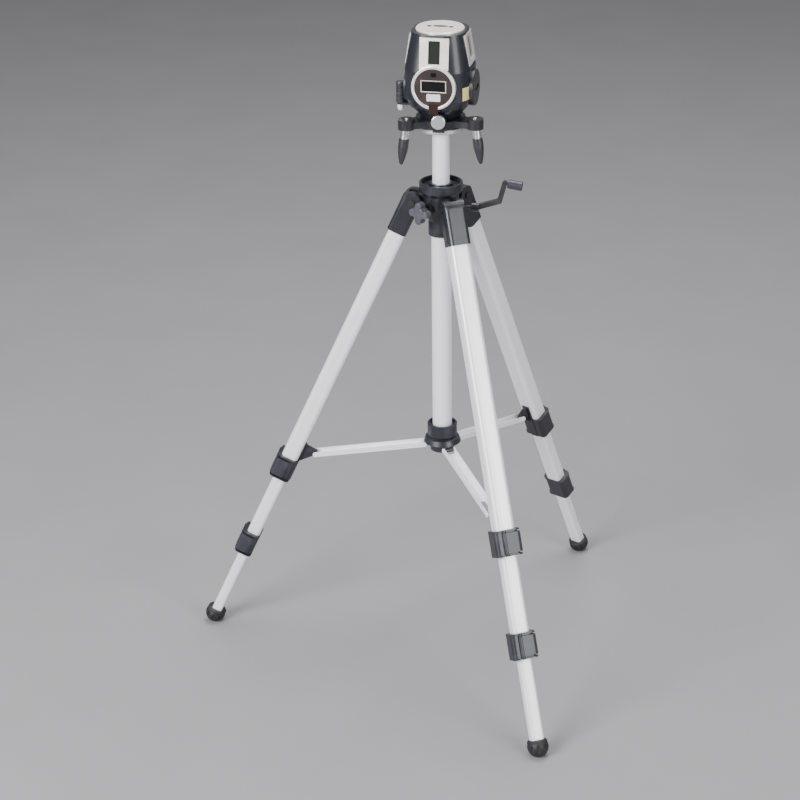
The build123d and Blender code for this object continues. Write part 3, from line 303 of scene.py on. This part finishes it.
ANODISED = (0.93, 0.93, 0.96)
ANODISED_STREAK = (0.86, 0.86, 0.90)
ANODISED_METAL = 0.22
for leg, azimuth in LEG_AZIMUTHS.items():
    leg_aluminium = drawn_metal(
        f"leg_{leg}_aluminium", LEG_TILT, azimuth, ANODISED, ANODISED_STREAK, 0.26, ANODISED_METAL
    )
    for tube in ("upper_tube", "middle_tube", "lower_tube"):
        dress(f"leg_{leg}_{tube}", leg_aluminium)
    brace_aluminium = drawn_metal(
        f"brace_{leg}_aluminium", BRACE_TILT, azimuth, ANODISED, ANODISED_STREAK, 0.28, ANODISED_METAL
    )
    dress(f"leg_{leg}_brace", brace_aluminium)
column_aluminium = drawn_metal(
    "column_aluminium", 0.0, 0.0, ANODISED, ANODISED_STREAK, 0.24, ANODISED_METAL
)
for node in ("guide_tube", "column_tube"):
    dress(node, column_aluminium)

# Brace tongues: the strips of each brace's web that run on either side of the slot for the
# clamp's ear, pressed from the same aluminium as the channel. Each bites a little into the web.
BRACE_INNER = Vector((0.025, 0, 0.322))
BRACE_OUTER = Vector((0.188, 0, 0.295))
TONGUE_LENGTH = 0.0345
TONGUE_SIDE = 0.0053
TONGUE_WIDTH = 0.0034
TONGUE_THICKNESS = 0.0014
TONGUE_EDGE = 0.0002
TONGUE_BITE = 0.0002
WEB_DROP = 0.0029
WEB_CUT = 0.0360
along_brace = (BRACE_OUTER - BRACE_INNER).normalized()
across_brace = Vector((along_brace.z, 0, -along_brace.x))
brace_slope = math.atan2(-along_brace.z, along_brace.x)
for leg, azimuth in LEG_AZIMUTHS.items():
    for side in (-1, 1):
        clear_selection()
        bpy.ops.mesh.primitive_cube_add(size=1.0)
        tongue = bpy.context.object
        tongue.name = f"brace_{leg}_tongue_{'left' if side < 0 else 'right'}"
        tongue.dimensions = (TONGUE_LENGTH, TONGUE_WIDTH, TONGUE_THICKNESS)
        bpy.ops.object.transform_apply(location=True, rotation=True, scale=True)
        bpy.ops.object.mode_set(mode="EDIT")
        bpy.ops.mesh.select_all(action="SELECT")
        bpy.ops.mesh.bevel(offset=TONGUE_EDGE, segments=2, affect="EDGES")
        bpy.ops.object.mode_set(mode="OBJECT")
        from_pivot = WEB_CUT - TONGUE_LENGTH / 2 + TONGUE_BITE
        middle = BRACE_OUTER - along_brace * from_pivot + across_brace * WEB_DROP
        middle.y = side * TONGUE_SIDE
        tongue.data.transform(
            Matrix.Rotation(math.radians(azimuth), 4, "Z")
            @ Matrix.Translation(middle)
            @ Matrix.Rotation(brace_slope, 4, "Y")
        )
        tongue.data.materials.append(bpy.data.materials[f"brace_{leg}_aluminium"])
        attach(tongue, f"brace_{leg}")

# Clamps, knuckles, shoulder and hub: glass-filled nylon, moulded in black with a fine spark
# texture. Levers are a shade lighter. Both are rubbed paler in patches.
black_nylon = moulded("black_nylon", (0.014, 0.014, 0.020), (0.034, 0.034, 0.044), 0.30, 0.00006, 0.15)
lever_nylon = moulded("lever_nylon", (0.026, 0.026, 0.036), (0.054, 0.054, 0.068), 0.32, 0.00008, 0.15)
for leg in LEG_AZIMUTHS:
    for node in ("knuckle", "upper_clamp", "lower_clamp"):
        dress(f"leg_{leg}_{node}", black_nylon)
    for node in ("upper_lever", "lower_lever"):
        dress(f"leg_{leg}_{node}", lever_nylon)
for node in ("shoulder", "spreader_hub"):
    dress(node, black_nylon)

# Steel hardware: the rack and the mounting screw are zinc plated. The legs' pivot pins and the
# crank's shaft are turned steel, blackened in oil.
zinc_plate = drawn_metal("zinc_plate", 90.0, 0.0, (0.62, 0.62, 0.64), (0.5, 0.5, 0.52), 0.26, 1.0)
for node in ("column_rack", "mounting_screw"):
    dress(node, zinc_plate)
blackened_steel = drawn_metal(
    "blackened_steel", 90.0, 0.0, (0.05, 0.05, 0.055), (0.09, 0.09, 0.095), 0.3, 0.8
)
for node in ("leg_pivot_pins", "crank_shaft"):
    dress(node, blackened_steel)

# Crank and column lock: bent steel arm with a black coat and a black nylon handle, and a moulded
# dark grey lock knob.
crank_coat = moulded("crank_coat", (0.016, 0.016, 0.018), (0.05, 0.05, 0.052), 0.26, 0.00003, 0.3)
knob_plastic = moulded("knob_plastic", (0.065, 0.065, 0.078), (0.11, 0.11, 0.125), 0.32, 0.00006)
dress("crank_arm", crank_coat)
dress("crank_knob", lever_nylon)
dress("column_lock_knob", knob_plastic)

# Mounting plate and azimuth clamp knob: turned aluminium with fine rings from the lathe.
LATHE_RING_SCALE = 260.0
LATHE_WANDER = 0.6
TURNED_METAL = 0.9
turned_plate, turned_shader, turned_place = bare_finish("turned_aluminium")
turned_tree = turned_plate.node_tree
lathe_rings = turned_tree.nodes.new("ShaderNodeTexWave")
lathe_rings.wave_type = "RINGS"
lathe_rings.rings_direction = "Z"
lathe_rings.inputs["Scale"].default_value = LATHE_RING_SCALE
lathe_rings.inputs["Distortion"].default_value = LATHE_WANDER
turned_tree.links.new(turned_place, lathe_rings.inputs["Vector"])
turned_tree.links.new(
    blend_shades(turned_tree, lathe_rings.outputs["Fac"], (0.86, 0.86, 0.88), (0.78, 0.78, 0.8)),
    turned_shader.inputs["Base Color"],
)
turned_tree.links.new(
    spread(turned_tree, lathe_rings.outputs["Fac"], 0.22, 0.34, 0.0, 1.0), turned_shader.inputs["Roughness"]
)
turned_shader.inputs["Metallic"].default_value = TURNED_METAL
raise_surface(turned_tree, turned_shader, lathe_rings.outputs["Fac"], 0.00002, 0.3)
for node in ("mounting_plate", "azimuth_clamp_knob"):
    dress(node, turned_plate)

# Levelling screws: bright nickel-plated stems with black rubber boots over their points. Each
# runs outwards to its point by the same lean, and the boot starts at the same height on each.
BOOT_TOP = 0.7945
BOOT_EDGE = 0.0003
SCREW_LEAN = 9.0
BASE_TURN = 8.5
SCREW_AZIMUTHS = {"a": -30.0, "b": -150.0, "c": 90.0}
SCREW_CIRCLE = 0.0575
for name, azimuth in SCREW_AZIMUTHS.items():
    booted, booted_shader, booted_place = bare_finish(f"booted_screw_{name}")
    booted_tree = booted.node_tree
    turn = math.radians(azimuth + BASE_TURN)
    lean = math.radians(SCREW_LEAN)
    up_screw = (-math.sin(lean) * math.cos(turn), -math.sin(lean) * math.sin(turn), math.cos(lean))
    boot_edge = Vector((SCREW_CIRCLE * math.cos(turn), SCREW_CIRCLE * math.sin(turn), BOOT_TOP))
    height = booted_tree.nodes.new("ShaderNodeVectorMath")
    height.operation = "DOT_PRODUCT"
    height.inputs[1].default_value = up_screw
    booted_tree.links.new(booted_place, height.inputs[0])
    edge = boot_edge.dot(Vector(up_screw))
    bare_metal = spread(booted_tree, height.outputs["Value"], 0.0, 1.0, edge, edge + BOOT_EDGE)
    wear = noise(booted_tree, booted_place, 220.0, 4.0)
    rubber_shade = blend_shades(booted_tree, wear, (0.014, 0.014, 0.017), (0.04, 0.04, 0.046))
    nickel_shade = blend_shades(booted_tree, wear, (0.74, 0.73, 0.72), (0.62, 0.61, 0.6))
    booted_tree.links.new(
        blend_shades(booted_tree, bare_metal, rubber_shade, nickel_shade), booted_shader.inputs["Base Color"]
    )
    booted_tree.links.new(bare_metal, booted_shader.inputs["Metallic"])
    booted_tree.links.new(spread(booted_tree, wear, 0.26, 0.42), booted_shader.inputs["Roughness"])
    dress(f"levelling_screw_{name}", booted)

# Level base, battery cover and head shell: satin black polycarbonate. The head shell has a thin
# gloss coat over it.
base_plastic = moulded("base_plastic", (0.016, 0.016, 0.019), (0.03, 0.03, 0.035), 0.26, 0.00003)
head_gloss = moulded("head_gloss", (0.012, 0.012, 0.018), (0.026, 0.026, 0.036), 0.30, 0.000012, 0.15)
dress("level_base", base_plastic)
dress("battery_cover", base_plastic)
for node in ("body_shell", "upper_frame"):
    dress(node, head_gloss)

# Window frames and front ring: die-cast and satin chromed.
satin_chrome = drawn_metal(
    "satin_chrome", 90.0, 30.0, (0.97, 0.95, 0.91), (0.90, 0.87, 0.82), 0.12, 0.55
)
for node in ("window_frames", "front_ring"):
    dress(node, satin_chrome)

# Top cap: aluminium disc, brushed pale, with two small dark spots either side of a brown oval
# patch. They are shading only, as it isn't known what they are.
HEAD_TURN = -3.5
CAP_SPOT_REACH = 0.015
CAP_SPOT_RADIUS = 0.0036
CAP_PATCH_RADIUS = 0.0110
CAP_PATCH_MIDDLE = (0, 0.002, 0)
CAP_PATCH_SQUEEZE = (1, 2.2)
MARK_EDGE = 0.0002
CAP_METAL = 0.35
cap_finish, cap_shader, cap_place = bare_finish("cap_aluminium")
cap_tree = cap_finish.node_tree
cap_turn = cap_tree.nodes.new("ShaderNodeMapping")
cap_turn.vector_type = "TEXTURE"
cap_turn.inputs["Rotation"].default_value = (0, 0, math.radians(HEAD_TURN))
cap_tree.links.new(cap_place, cap_turn.inputs["Vector"])


def within(tree, place, centre, squeeze, radius):
    """1 inside an upright ellipse round the centre, 0 outside it."""
    moved = tree.nodes.new("ShaderNodeVectorMath")
    moved.operation = "SUBTRACT"
    moved.inputs[1].default_value = centre
    flat = tree.nodes.new("ShaderNodeVectorMath")
    flat.operation = "MULTIPLY"
    flat.inputs[1].default_value = (*squeeze, 0)
    reach = tree.nodes.new("ShaderNodeVectorMath")
    reach.operation = "LENGTH"
    tree.links.new(place, moved.inputs[0])
    tree.links.new(moved.outputs[0], flat.inputs[0])
    tree.links.new(flat.outputs[0], reach.inputs[0])
    return spread(tree, reach.outputs["Value"], 1.0, 0.0, radius - MARK_EDGE, radius + MARK_EDGE)


cap_brushed = noise(cap_tree, cap_turn.outputs["Vector"], 260.0, 5.0)
cap_shade = blend_shades(cap_tree, cap_brushed, (0.95, 0.93, 0.89), (0.86, 0.84, 0.80))
brown_patch = within(
    cap_tree, cap_turn.outputs["Vector"], CAP_PATCH_MIDDLE, CAP_PATCH_SQUEEZE, CAP_PATCH_RADIUS
)
cap_shade = blend_shades(cap_tree, brown_patch, cap_shade, (0.16, 0.11, 0.10))
for side in (-1, 1):
    dark_spot = within(
        cap_tree, cap_turn.outputs["Vector"], (side * CAP_SPOT_REACH, 0, 0), (1, 1), CAP_SPOT_RADIUS
    )
    cap_shade = blend_shades(cap_tree, dark_spot, cap_shade, (0.012, 0.012, 0.012))
cap_tree.links.new(cap_shade, cap_shader.inputs["Base Color"])
cap_tree.links.new(spread(cap_tree, cap_brushed, 0.24, 0.4), cap_shader.inputs["Roughness"])
cap_shader.inputs["Metallic"].default_value = CAP_METAL
raise_surface(cap_tree, cap_shader, cap_brushed, 0.00002, 0.3)
dress("top_cap", cap_finish)

# Transport lock: dark grey ribbed knob on a spindle whose lower end is bright nickel.
LOCK_END_TOP = 0.8357
LOCK_END_EDGE = 0.0003
LOCK_METAL = 0.2
lock_finish, lock_shader, lock_place = bare_finish("lock_knob_and_end")
lock_tree = lock_finish.node_tree
lock_height = lock_tree.nodes.new("ShaderNodeSeparateXYZ")
lock_tree.links.new(lock_place, lock_height.inputs[0])
lock_end = spread(lock_tree, lock_height.outputs["Z"], 1.0, 0.0, LOCK_END_TOP, LOCK_END_TOP + LOCK_END_EDGE)
lock_wear = noise(lock_tree, lock_place, 180.0, 4.0)
lock_grey = blend_shades(lock_tree, lock_wear, (0.03, 0.03, 0.036), (0.065, 0.065, 0.075))
lock_nickel = blend_shades(lock_tree, lock_wear, (0.93, 0.92, 0.90), (0.82, 0.81, 0.79))
lock_tree.links.new(
    blend_shades(lock_tree, lock_end, lock_grey, lock_nickel), lock_shader.inputs["Base Color"]
)
lock_tree.links.new(spread(lock_tree, lock_wear, 0.2, 0.4), lock_shader.inputs["Roughness"])
lock_shader.inputs["Metallic"].default_value = LOCK_METAL
raise_surface(lock_tree, lock_shader, lock_wear, 0.00003, 0.4)
dress("transport_lock_knob", lock_finish)

# Windows: dark smoked panes in the four frames, and the amber block at the front, in the same
# plastic tinted a deep brown amber.
AMBER_TOP = 0.885
AMBER_EDGE = 0.0005
PANE_CLARITY = 0.35
PANE_IOR = 1.5
panes, panes_shader, panes_place = bare_finish("smoked_panes")
panes_tree = panes.node_tree
panes_height = panes_tree.nodes.new("ShaderNodeSeparateXYZ")
panes_tree.links.new(panes_place, panes_height.inputs[0])
pane_zone = spread(panes_tree, panes_height.outputs["Z"], 0.0, 1.0, AMBER_TOP, AMBER_TOP + AMBER_EDGE)
panes_tree.links.new(
    blend_shades(panes_tree, pane_zone, (0.026, 0.009, 0.002), (0.030, 0.034, 0.030)),
    panes_shader.inputs["Base Color"],
)
smears = noise(panes_tree, panes_place, 90.0, 4.0)
panes_tree.links.new(spread(panes_tree, smears, 0.02, 0.09), panes_shader.inputs["Roughness"])
panes_shader.inputs["Transmission Weight"].default_value = PANE_CLARITY
panes_shader.inputs["IOR"].default_value = PANE_IOR
dress("window_glass", panes)

# Front panel and power key: a dark brown printed overlay on a moulded disc, and a plain white
# key with no lettering.
panel_overlay = moulded("panel_overlay", (0.022, 0.014, 0.013), (0.040, 0.026, 0.024), 0.3, 0.00002, 0.05)
white_key = moulded("white_key", (0.74, 0.74, 0.73), (0.66, 0.66, 0.64), 0.2, 0.00001, 0.3)
dress("front_panel", panel_overlay)
dress("power_key", white_key)

# Display: dark window in a pale moulded surround that stands on the panel, and the small sensor
# window above it, dark all over.
PANEL_FACE_Y = -0.0463
SURROUND_PROUD = 0.0007
SURROUND_EDGE = 0.0003
WINDOW_SINK = 0.0004
FRONT_NORMAL_Y = -0.99
DISPLAY_WIDTH = 0.0350
DISPLAY_HEIGHT = 0.0165
DISPLAY_MIDDLE = 0.8725
DISPLAY_RIM = 0.0009
SENSOR_WIDTH = 0.0070
SENSOR_HEIGHT = 0.0058
SENSOR_MIDDLE = 0.8885
SENSOR_RIM = 0.0004
head_to_room = Matrix.Rotation(math.radians(HEAD_TURN), 4, "Z")
surround_plastic = moulded("surround_plastic", (0.60, 0.56, 0.54), (0.5, 0.46, 0.44), 0.24, 0.00001)
smoked_window = moulded("smoked_window", (0.006, 0.006, 0.007), (0.012, 0.012, 0.013), 0.25, 0.000004)
smoked_window.node_tree.nodes["Principled BSDF"].inputs["Specular IOR Level"].default_value = 0.15


def framed_window(name, width, height, middle_z, rim, surround):
    """A shallow surround standing on the panel, with its window let in."""
    clear_selection()
    bpy.ops.mesh.primitive_cube_add(size=1.0, location=(0, PANEL_FACE_Y - SURROUND_PROUD / 2, middle_z))
    piece = bpy.context.object
    piece.name = name
    piece.dimensions = (width, SURROUND_PROUD, height)
    bpy.ops.object.transform_apply(location=True, rotation=True, scale=True)
    bpy.ops.object.mode_set(mode="EDIT")
    bpy.ops.mesh.select_mode(type="FACE")
    bpy.ops.mesh.select_all(action="SELECT")
    bpy.ops.mesh.bevel(offset=SURROUND_EDGE, segments=2, affect="EDGES")
    bpy.ops.object.mode_set(mode="OBJECT")
    for face in piece.data.polygons:
        face.select = face.normal.y < FRONT_NORMAL_Y
    bpy.ops.object.mode_set(mode="EDIT")
    bpy.ops.mesh.inset(thickness=rim)
    bpy.ops.transform.translate(value=(0, WINDOW_SINK, 0))
    bpy.ops.object.mode_set(mode="OBJECT")
    piece.data.materials.append(surround)
    piece.data.materials.append(smoked_window)
    for face in piece.data.polygons:
        if face.select:
            face.material_index = 1
    piece.data.transform(head_to_room)
    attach(piece, "head")


framed_window("display", DISPLAY_WIDTH, DISPLAY_HEIGHT, DISPLAY_MIDDLE, DISPLAY_RIM, surround_plastic)
framed_window("sensor_window", SENSOR_WIDTH, SENSOR_HEIGHT, SENSOR_MIDDLE, SENSOR_RIM, smoked_window)

# Sticker: blank pale yellow foil, wrapped round the shell's front right corner. Its right end
# runs into the battery cover's rim.
CORNER_PLACE = (0.017, -0.017)
CORNER_RADIUS = 0.0280
CORNER_FACETS = 120
STICKER_FROM = -42.0
STICKER_TO = -4.0
STICKER_HEIGHT = 0.018
STICKER_MIDDLE = 0.8600
STICKER_LIFT = 0.00005
FOIL_THICKNESS = 0.00015
sticker_foil = moulded("sticker_foil", (0.76, 0.74, 0.28), (0.66, 0.64, 0.24), 0.26, 0.00001)
clear_selection()
bpy.ops.mesh.primitive_cylinder_add(
    vertices=CORNER_FACETS,
    radius=CORNER_RADIUS + STICKER_LIFT,
    depth=STICKER_HEIGHT,
    end_fill_type="NOTHING",
    location=(*CORNER_PLACE, STICKER_MIDDLE),
)
sticker = bpy.context.object
sticker.name = "blank_sticker"
bpy.ops.object.transform_apply(location=True, rotation=True, scale=True)
bpy.ops.object.mode_set(mode="EDIT")
bpy.ops.mesh.select_mode(type="FACE")
bpy.ops.mesh.select_all(action="DESELECT")
bpy.ops.object.mode_set(mode="OBJECT")
for face in sticker.data.polygons:
    azimuth = math.degrees(math.atan2(face.center.y - CORNER_PLACE[1], face.center.x - CORNER_PLACE[0]))
    face.select = not STICKER_FROM < azimuth < STICKER_TO
bpy.ops.object.mode_set(mode="EDIT")
bpy.ops.mesh.delete(type="FACE")
bpy.ops.object.mode_set(mode="OBJECT")
foil = sticker.modifiers.new("foil", "SOLIDIFY")
foil.thickness = FOIL_THICKNESS
foil.offset = 1.0
bpy.ops.object.modifier_apply(modifier="foil")
sticker.data.transform(head_to_room)
sticker.data.materials.append(sticker_foil)
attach(sticker, "head")

# Inside the head: machined brass pendulum in its zinc-plated gimbal ring, and the sleeved pack.
pendulum_brass = drawn_metal("pendulum_brass", 0.0, 0.0, (0.70, 0.53, 0.27), (0.6, 0.44, 0.2), 0.2, 1.0)
pack_sleeve = moulded("pack_sleeve", (0.05, 0.055, 0.07), (0.08, 0.085, 0.1), 0.3, 0.00002)
dress("pendulum", pendulum_brass)
dress("gimbal_ring", zinc_plate)
dress("battery_pack", pack_sleeve)
